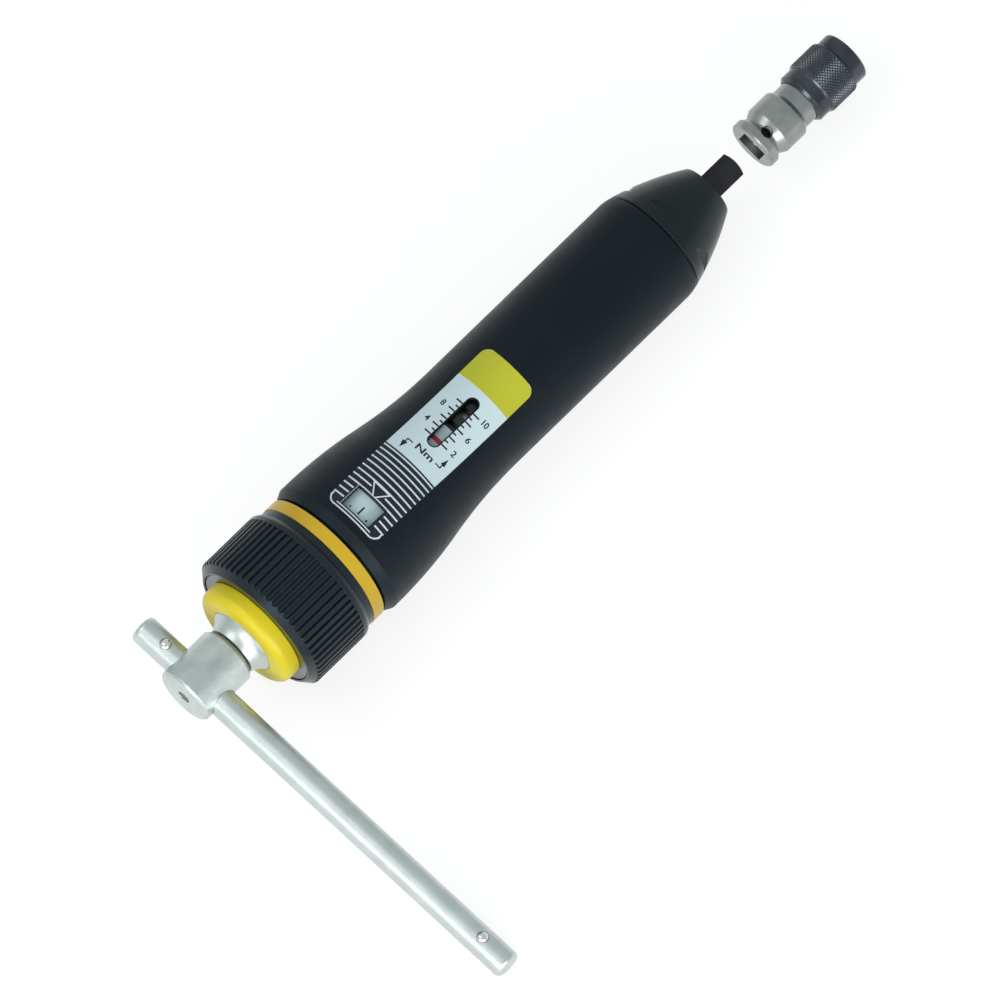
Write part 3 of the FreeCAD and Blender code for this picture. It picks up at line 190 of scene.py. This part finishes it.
def plastic(name, dark, light, grain, depth, rough, edge=0.0, gloss=0.5, tint=PLAIN):
    """Moulded plastic, paint or print: a fine grain, slow drifts of colour and uneven gloss."""
    made = Shader(name, Specular_IOR_Level=gloss, Specular_Tint=tint)
    made.colour(made.mix(made.spread(made.noise(grain * 60), *NOISE_SPAN, 0, 1), dark, light))
    made.rough(made.spread(made.noise(grain * 18, 4), *NOISE_SPAN, *rough))
    if edge:
        made.soften(edge)
    made.bump(made.noise(grain, 3), depth)
    return made


def metal(name, tone, shade, rough, marks=0.25, depth=0.002, edge=0.0, grain=0.0):
    """Bare or plated metal, turned along the axis or, with a grain, blasted."""
    made = Shader(name, Metallic=1.0)
    made.colour(made.mix(made.spread(made.noise(5, 3), *NOISE_SPAN, 0, 1), shade, tone))
    lines = made.grains(grain) if grain else made.rings(marks)
    uneven = made.math("ADD", lines, made.noise(0.6, 4))
    made.rough(made.spread(uneven, *(2 * level for level in NOISE_SPAN), *rough))
    if edge:
        made.soften(edge)
    made.bump(lines, depth)
    return made


def dress(shader, *names):
    for name in names:
        slots = nodes[name].data.materials
        slots.clear()
        slots.append(shader.material)


handle_black = plastic("handle_black", rgb(7, 13, 18), rgb(11, 18, 24), grain=0.28, depth=0.06,
                       rough=(0.4, 0.5), edge=0.2, gloss=0.24, tint=COOL)
nose_black = plastic("nose_black", rgb(8, 15, 15), rgb(12, 20, 19), grain=0.5, depth=0.02,
                     rough=(0.24, 0.34), edge=0.25, gloss=0.36, tint=COOL)
ring_black = plastic("ring_black", rgb(6, 11, 16), rgb(10, 16, 22), grain=0.24, depth=0.012,
                     rough=(0.24, 0.34), edge=0.14, gloss=0.5, tint=COOL)
label_black = plastic("label_black", rgb(12, 20, 26), rgb(17, 26, 32), grain=0.3, depth=0.003,
                      rough=(0.28, 0.36), gloss=0.4)
print_black = plastic("print_black", rgb(14, 18, 22), rgb(20, 25, 29), grain=0.2, depth=0.002,
                      rough=(0.35, 0.45), gloss=0.3)
lock_yellow = plastic("lock_yellow", rgb(206, 188, 4), rgb(220, 202, 10), grain=0.35, depth=0.012,
                      rough=(0.36, 0.46), edge=0.3)
band_yellow = plastic("band_yellow", rgb(190, 154, 14), rgb(202, 166, 22), grain=0.3, depth=0.005,
                      rough=(0.3, 0.4), edge=0.08)
label_white = plastic("label_white", rgb(186, 206, 211), rgb(197, 216, 220), grain=0.35, depth=0.003,
                      rough=(0.24, 0.32))
stripe_white = plastic("stripe_white", rgb(186, 200, 206), rgb(204, 217, 222), grain=0.25, depth=0.003,
                       rough=(0.26, 0.34))
label_green = plastic("label_green", rgb(170, 172, 26), rgb(182, 184, 36), grain=0.35, depth=0.003,
                      rough=(0.24, 0.32))
drum_white = plastic("drum_white", rgb(184, 208, 210), rgb(198, 220, 222), grain=0.3, depth=0.004,
                     rough=(0.34, 0.42))
print_red = plastic("print_red", rgb(178, 14, 52), rgb(192, 22, 62), grain=0.2, depth=0.003,
                    rough=(0.34, 0.42))
satin_nickel = metal("satin_nickel", (0.62, 0.68, 0.665, 1), (0.55, 0.61, 0.595, 1),
                     rough=(0.36, 0.46), depth=0.004, edge=0.12, grain=0.16)
hub_nickel = metal("hub_nickel", (0.58, 0.63, 0.62, 1), (0.5, 0.55, 0.54, 1), rough=(0.34, 0.46),
                   marks=0.15, depth=0.002, edge=0.15)
blasted = metal("blasted", (0.64, 0.7, 0.68, 1), (0.5, 0.56, 0.545, 1), rough=(0.32, 0.46),
                depth=0.03, edge=0.2, grain=0.24)
adapter_nickel = metal("adapter_nickel", (0.37, 0.395, 0.38, 1), (0.27, 0.29, 0.28, 1),
                       rough=(0.26, 0.38), marks=0.18, depth=0.002, edge=0.12)
polished = metal("polished", (0.8, 0.8, 0.79, 1), (0.74, 0.74, 0.73, 1), rough=(0.05, 0.12), marks=0.4,
                 depth=0.0003)
ground = metal("ground", (0.56, 0.57, 0.57, 1), (0.46, 0.47, 0.47, 1), rough=(0.25, 0.4), marks=0.12,
               depth=0.002)
dull_steel = metal("dull_steel", (0.2, 0.225, 0.235, 1), (0.14, 0.16, 0.17, 1), rough=(0.3, 0.42),
                   marks=0.2, depth=0.001)
black_oxide = metal("black_oxide", (0.1, 0.112, 0.125, 1), (0.055, 0.063, 0.072, 1),
                    rough=(0.16, 0.26), marks=0.2, depth=0.001, edge=0.15)
drive_oxide = metal("drive_oxide", (0.05, 0.05, 0.056, 1), (0.032, 0.032, 0.037, 1),
                    rough=(0.32, 0.45), marks=0.3, depth=0.002, edge=0.1)
spring_black = metal("spring_black", (0.06, 0.06, 0.064, 1), (0.035, 0.035, 0.038, 1),
                     rough=(0.25, 0.4))
bronze = metal("bronze", (0.55, 0.36, 0.17, 1), (0.42, 0.26, 0.12, 1), rough=(0.35, 0.5))

dress(handle_black, "handle_shell")
dress(nose_black, "nose_cap")
dress(ring_black, "setting_ring")
dress(lock_yellow, "lock_nut")
dress(band_yellow, "colour_band")
dress(label_white, "label_strip")
dress(drum_white, "scale_drum", "indicator_sleeve")
dress(blasted, "tee_head")
dress(satin_nickel, "tee_bar")
dress(hub_nickel, "core_spindle")
dress(adapter_nickel, "adapter_body")
dress(polished, "near_ball", "far_ball", "drive_ball", "tang_ball", "bit_ball")
dress(dull_steel, "friction_plate")
dress(ground, "bearing_plate", "thrust_washer", "setting_sleeve", "thrust_collar",
      "thrust_nut", "pressure_cam", "drive_cam")
dress(black_oxide, "adapter_sleeve")
dress(drive_oxide, "output_shaft", "spindle_circlip", "shell_circlip", "ring_screw_1", "ring_screw_2",
      "ring_screw_3", "rear_seat", "front_seat", "stop_ring")
dress(spring_black, "main_spring", "sleeve_spring")
dress(bronze, "front_bush")


def closing_spring(name, body):
    """A copy of the spring that rides rigidly on the body, in place of the hidden CAD node."""
    piece = bpy.data.objects.new(name + "_coil", nodes[name].data.copy())
    bpy.context.scene.collection.objects.link(piece)
    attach(piece, body)
    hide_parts(name)
    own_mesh(piece)


closing_spring("main_spring", "nut")
closing_spring("sleeve_spring", "adapter")

# Printing: flat outlines of (station, across), cut into small cells and laid on a curved surface.
PRINT_CELL = 0.4
PRINT_RISE = 0.02
LETTER_WEIGHT = 0.02


def laid_on(name):
    """Lays (station, across) in millimetres on a piece, as seen from above the label."""
    data = nodes[name].data
    tree = BVHTree.FromPolygons([v.co for v in data.vertices], [p.vertices for p in data.polygons])

    def place(station, across, rise):
        start = on_axis(station) + LABEL_SIDE * across * MM + LABEL_UP * 0.05
        hit = tree.ray_cast(start, -LABEL_UP)[0]
        return hit and hit + LABEL_UP * rise * MM
    return place


def wrapped_on(radius):
    """Wraps (station, across) round the axis at a radius."""
    def place(station, across, rise):
        return round_axis(station, radius + rise, across / radius)
    return place


def add_piece(name, mesh, body, shader):
    made = bpy.data.meshes.new(name)
    mesh.to_mesh(made)
    mesh.free()
    made.materials.append(shader.material)
    piece = bpy.data.objects.new(name, made)
    bpy.context.scene.collection.objects.link(piece)
    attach(piece, body)
    return piece


def lay_down(name, mesh, place, body, shader, rise=PRINT_RISE):
    """Cuts flat faces of (station, across) into cells, places them and makes the piece."""
    for axis in (0, 1):
        coords = [v.co[axis] for v in mesh.verts]
        for cell in range(math.ceil(min(coords) / PRINT_CELL), math.floor(max(coords) / PRINT_CELL) + 1):
            point, normal = Vector((0, 0, 0)), Vector((0, 0, 0))
            point[axis], normal[axis] = cell * PRINT_CELL, 1
            bmesh.ops.bisect_plane(mesh, geom=mesh.verts[:] + mesh.edges[:] + mesh.faces[:],
                                   plane_co=point, plane_no=normal)
    lost = []
    for vertex in mesh.verts:
        where = place(vertex.co.x, vertex.co.y, rise)
        if where is None:
            lost.append(vertex)
        else:
            vertex.co = where
    bmesh.ops.delete(mesh, geom=lost, context="VERTS")
    return add_piece(name, mesh, body, shader)


def printed(name, outlines, place, body, shader, rise=PRINT_RISE):
    mesh = bmesh.new()
    for outline in outlines:
        mesh.faces.new([mesh.verts.new((x, y, 0)) for x, y in outline])
    bmesh.ops.recalc_face_normals(mesh, faces=mesh.faces[:])
    return lay_down(name, mesh, place, body, shader, rise)


def lettering(name, words, place, body, shader):
    """Words of (text, station, across, height, stretch), read across with their tops to the drive."""
    mesh = bmesh.new()
    for text, station, across, height, stretch in words:
        curve = bpy.data.curves.new("words", "FONT")
        curve.body = text
        curve.align_x, curve.align_y = "CENTER", "CENTER"
        curve.offset = LETTER_WEIGHT
        holder = bpy.data.objects.new("words", curve)
        bpy.context.scene.collection.objects.link(holder)
        flat = bpy.data.meshes.new_from_object(holder)
        tall = max(v.co.y for v in flat.vertices) - min(v.co.y for v in flat.vertices)
        scale = height / tall
        middle = (max(v.co.y for v in flat.vertices) + min(v.co.y for v in flat.vertices)) / 2
        flat.transform(Matrix(((0, scale, 0, station - middle * scale), (-scale * stretch, 0, 0, across),
                               (0, 0, 1, 0), (0, 0, 0, 1))))
        mesh.from_mesh(flat)
        bpy.data.objects.remove(holder)
        bpy.data.meshes.remove(flat)
    return lay_down(name, mesh, place, body, shader)


def strip(x0, x1, y0, y1):
    return [(x0, y0), (x1, y0), (x1, y1), (x0, y1)]


def band(points, width):
    """Outline of a line of a given width through points."""
    left, right = [], []
    for index, point in enumerate(points):
        before = points[max(index - 1, 0)]
        after = points[min(index + 1, len(points) - 1)]
        dx, dy = after[0] - before[0], after[1] - before[1]
        length = math.hypot(dx, dy)
        nx, ny = -dy / length * width / 2, dx / length * width / 2
        left.append((point[0] + nx, point[1] + ny))
        right.append((point[0] - nx, point[1] - ny))
    return [quad for quad in zip(left, left[1:], right[1:], right)]


# The label. Its outline, window and slot are those of the CAD node.
on_label = laid_on("label_strip")
LABEL_START, LABEL_END, LABEL_HALF, LABEL_ROUND = 4.2, 57.6, 7.65, 2.2
LABEL_EDGE = 0.03
WINDOW_START, WINDOW_END, WINDOW_HALF = 5.6, 11.8, 4.3
SLOT_HALF = 1.7
DARK_END, WHITE_END = 24.3, 48.4


def label_half(station, inset=LABEL_EDGE):
    """Half the label's width at a station, inside its round corners."""
    into = min(station - LABEL_START, LABEL_END - station)
    corner = LABEL_ROUND - into
    if corner <= 0:
        return LABEL_HALF - inset
    return LABEL_HALF - LABEL_ROUND + math.sqrt(max((LABEL_ROUND - inset) ** 2 - corner ** 2, 0))


def field(x0, x1):
    """The whole width of the label between two stations."""
    steps = 24
    stations = [x0 + (x1 - x0) * step / steps for step in range(steps + 1)]
    upper = [(x, label_half(x)) for x in stations]
    return upper + [(x, -y) for x, y in reversed(upper)]


def both_sides(x0, x1, near, far):
    return [strip(x0, x1, near, far), strip(x0, x1, -far, -near)]


side = LABEL_HALF - LABEL_EDGE
printed("label_dark", [field(LABEL_START + LABEL_EDGE, WINDOW_START)]
        + both_sides(WINDOW_START, WINDOW_END, WINDOW_HALF, side)
        + [field(WINDOW_END, DARK_END)], on_label, "handle", label_black, 0.01)
printed("label_field", [field(WHITE_END, LABEL_END - LABEL_EDGE)], on_label, "handle", label_green, 0.01)

STRIPE = 0.4
STRIPES = [7.2, 8.75, 10.3, 11.87, 13.41, 14.95, 16.47, 18.0, 19.5, 20.93, 22.33, 23.66]
BESIDE_WINDOW, BESIDE_TRIANGLE = 3, 5
POINTER_TIP, POINTER_BASE, POINTER_HALF = 11.75, 14.55, 2.1
stripes = []
for index, station in enumerate(STRIPES):
    low, high = station - STRIPE / 2, station + STRIPE / 2
    if index < BESIDE_WINDOW:
        stripes += both_sides(low, high, WINDOW_HALF + 0.5, side)
    elif index < BESIDE_TRIANGLE:
        gap = POINTER_HALF * (station - POINTER_TIP) / (POINTER_BASE - POINTER_TIP) + 0.9
        stripes += both_sides(low, high, gap, side)
    else:
        stripes.append(strip(low, high, -side, side))
printed("label_stripes", stripes, on_label, "handle", stripe_white)


def rear_line(inset, reach):
    """Line round the label's rear end, from reach on one side to reach on the other."""
    corner = LABEL_ROUND - inset
    centre_x, centre_y = LABEL_START + LABEL_ROUND, LABEL_HALF - LABEL_ROUND
    arc = [(centre_x - corner * math.sin(turn), centre_y + corner * math.cos(turn))
           for turn in [math.radians(10 * step) for step in range(10)]]
    half = [(reach, LABEL_HALF - inset)] + arc + [(LABEL_START + inset, 0)]
    return half + [(x, -y) for x, y in reversed(half[:-1])]


FRAME_INSET, FRAME_LINE = 0.3, 0.34
INNER_LINE = strip(5.15, 5.42, -5.2, 5.2)
printed("label_frame", band(rear_line(FRAME_INSET, STRIPES[0]), FRAME_LINE) + [INNER_LINE],
        on_label, "handle", stripe_white)


def pointer(grow):
    """The triangle that points at the drum, grown on all sides."""
    slope = POINTER_HALF / (POINTER_BASE - POINTER_TIP)
    ahead = grow * math.hypot(1, slope) / slope
    wide = (POINTER_BASE + grow - POINTER_TIP + ahead) * slope
    return [(POINTER_TIP - ahead, 0), (POINTER_BASE + grow, -wide), (POINTER_BASE + grow, wide)]


POINTER_LINE = 0.32
printed("pointer_edge", [pointer(POINTER_LINE)], on_label, "handle", stripe_white, 0.03)
printed("pointer", [pointer(0.0)], on_label, "handle", label_black, 0.05)

SCALE_FIRST, SCALE_STEP, SCALE_LAST = 32.65, 1.3175, 10
TICK, LONG_TICK, SHORT_TICK = 0.4, 3.5, 2.55
ticks = []
for newton_metres in range(2, SCALE_LAST + 1):
    station = SCALE_FIRST + SCALE_STEP * (newton_metres - 2)
    reach = LONG_TICK if newton_metres % 2 == 0 else SHORT_TICK
    ticks += both_sides(station - TICK / 2, station + TICK / 2, SLOT_HALF + 0.02, reach)
printed("scale_ticks", ticks, on_label, "handle", print_black)
lettering("scale_figures", [
    ("4", SCALE_FIRST + 2 * SCALE_STEP, 5.1, 1.6, 1.0),
    ("8", SCALE_FIRST + 6 * SCALE_STEP, 5.1, 1.6, 1.0),
    ("2", SCALE_FIRST + 0.5, -5.2, 1.6, 1.0),
    ("6", SCALE_FIRST + 4 * SCALE_STEP, -5.2, 1.6, 1.0),
    ("10", SCALE_FIRST + 8 * SCALE_STEP + 0.35, -5.15, 1.6, 0.9),
    ("Nm", 28.33, -0.54, 1.7, 1.45),
], on_label, "handle", print_black)
printed("turn_arrows", [
    strip(28.02, 28.32, 3.02, 4.7),
    strip(27.28, 28.32, 4.4, 4.7),
    [(25.21, 4.55), (27.3, 3.87), (27.3, 5.28)],
    strip(28.2, 28.5, -5.45, -3.93),
    strip(28.2, 29.3, -5.45, -5.15),
    [(31.32, -5.35), (29.25, -5.9), (29.25, -4.75)],
], on_label, "handle", print_black)

# Figures round the drum, one every eighteenth degree over two turns of nine, and a dot between them.
DRUM_RADIUS = 15.9
DRUM_STEPS = 20
FIGURE_AT, FIGURE_HIGH, DOT_AT = 8.0, 2.3, 7.15
step_arc = 2 * math.pi * DRUM_RADIUS / DRUM_STEPS
on_drum = wrapped_on(DRUM_RADIUS)
lettering("drum_figures", [(str((1 - index) % 10), FIGURE_AT, index * step_arc, FIGURE_HIGH, 0.9)
                           for index in range(DRUM_STEPS)], on_drum, "setting", print_black)
printed("drum_dots", [strip(DOT_AT - 0.25, DOT_AT + 0.25, (index + 0.5) * step_arc - 0.2,
                            (index + 0.5) * step_arc + 0.2) for index in range(DRUM_STEPS)],
        on_drum, "setting", print_black)

# The red line round the indicator sleeve.
INDICATOR_RADIUS = 12.62
printed("setting_line", [strip(32.75, 33.9, -math.pi * INDICATOR_RADIUS, math.pi * INDICATOR_RADIUS)],
        wrapped_on(INDICATOR_RADIUS), "nut", print_red)

# The diamond knurl on the adapter's sleeve: one small pyramid for each diamond.
KNURL_START, KNURL_END = ADAPTER_REAR + 19.75, ADAPTER_REAR + 27.25
KNURL_RADIUS, KNURL_FOOT = 7.12, 6.88
KNURL_ROUND, KNURL_ROWS = 46, 9


def knurl():
    mesh = bmesh.new()
    pitch = (KNURL_END - KNURL_START) / KNURL_ROWS
    half_turn = math.pi / KNURL_ROUND
    for row in range(2 * KNURL_ROWS - 1):
        station = KNURL_START + pitch * (row + 1) / 2
        for column in range(KNURL_ROUND):
            angle = (2 * column + row % 2) * half_turn
            foot = [round_axis(station + along * pitch / 2, KNURL_FOOT, angle + across * half_turn)
                    for along, across in ((-1, 0), (0, -1), (1, 0), (0, 1))]
            tip = mesh.verts.new(round_axis(station, KNURL_RADIUS, angle))
            ring = [mesh.verts.new(point) for point in foot]
            for first, second in zip(ring, ring[1:] + ring[:1]):
                mesh.faces.new((first, second, tip))
    bmesh.ops.recalc_face_normals(mesh, faces=mesh.faces[:])
    return mesh


knurl_piece = add_piece("sleeve_knurl", knurl(), "sleeve", black_oxide)

# The camera stands above the label, a little to the rear, and far off.
CAMERA_TILT = math.radians(16)
CAMERA_REACH = 9.05
FOCAL_PIXELS, IMAGE_SIDE = 40000, 1000
ACROSS, UPWARDS = 0.7176, 0.6964
towards = (DRIVE_UP * math.cos(CAMERA_TILT) - AXIS * math.sin(CAMERA_TILT)).normalized()
tool_shown = (AXIS - towards * AXIS.dot(towards)).normalized()
side_shown = towards.cross(tool_shown)
right = (tool_shown * ACROSS - side_shown * UPWARDS).normalized()
up = towards.cross(right)
aim = on_axis(37.71) - side_shown * 17.74 * MM
camera_data = bpy.data.cameras.new("camera")
camera_data.sensor_width = 36
camera_data.lens = FOCAL_PIXELS * camera_data.sensor_width / IMAGE_SIDE
camera_data.clip_end = 100
camera = bpy.data.objects.new("camera", camera_data)
camera.matrix_world = Matrix.Translation(aim + towards * CAMERA_REACH) @ Matrix(
    (right, up, towards)).transposed().to_4x4()
bpy.context.scene.collection.objects.link(camera)
bpy.context.scene.camera = camera

# Studio light: an even room, a broad softbox below the view, a weak one above it and one behind the tool.
ROOM_LIGHT = 0.66
world = bpy.data.worlds.new("world")
bpy.context.scene.world = world
world.use_nodes = True
background = world.node_tree.nodes["Background"]
background.inputs["Color"].default_value = (0.93, 0.98, 1, 1)
background.inputs["Strength"].default_value = ROOM_LIGHT


def softbox(name, direction, reach, width, height, power):
    data = bpy.data.lights.new(name, "AREA")
    data.shape = "RECTANGLE"
    data.size, data.size_y = width, height
    data.energy = power
    lamp = bpy.data.objects.new(name, data)
    lamp.location = direction.normalized() * reach
    lamp.rotation_mode = "QUATERNION"
    lamp.rotation_quaternion = (-direction).to_track_quat("-Z", "Y")
    bpy.context.scene.collection.objects.link(lamp)


softbox("key", towards * 0.62 - up * 0.7 + right * 0.25, reach=1.0, width=0.8, height=0.5, power=6.0)
softbox("fill", towards * 0.7 + up * 0.3 - right * 0.6, reach=1.2, width=0.6, height=0.6, power=2.5)
softbox("rear", towards * 0.45 - AXIS * 0.8, reach=1.0, width=0.5, height=0.4, power=2.5)

# A pale floor that shows white to the camera and in the metal, and keeps the shadows.
FLOOR_HALF = 3.0
floor_mesh = bpy.data.meshes.new("floor")
floor_mesh.from_pydata([(-FLOOR_HALF, -FLOOR_HALF, 0), (FLOOR_HALF, -FLOOR_HALF, 0),
                        (FLOOR_HALF, FLOOR_HALF, 0), (-FLOOR_HALF, FLOOR_HALF, 0)], [], [(0, 1, 2, 3)])
floor = bpy.data.objects.new("floor", floor_mesh)
bpy.context.scene.collection.objects.link(floor)
PAPER_GREY, PAPER_GLOW = (0.24, 0.24, 0.24, 1), 0.8
paper = Shader("paper", Roughness=0.9, Specular_IOR_Level=0.1)
paper.bsdf.inputs["Base Color"].default_value = PAPER_GREY
paper.bsdf.inputs["Emission Color"].default_value = (1, 1, 1, 1)
path = paper.node("ShaderNodeLightPath").outputs
seen = paper.math("MAXIMUM", paper.math("MAXIMUM", path["Is Camera Ray"], path["Is Glossy Ray"]),
                  path["Is Transmission Ray"])
paper.feed(paper.bsdf.inputs["Emission Strength"], paper.math("MULTIPLY", seen, PAPER_GLOW))
floor_mesh.materials.append(paper.material)

bpy.context.scene.view_settings.view_transform = "Standard"
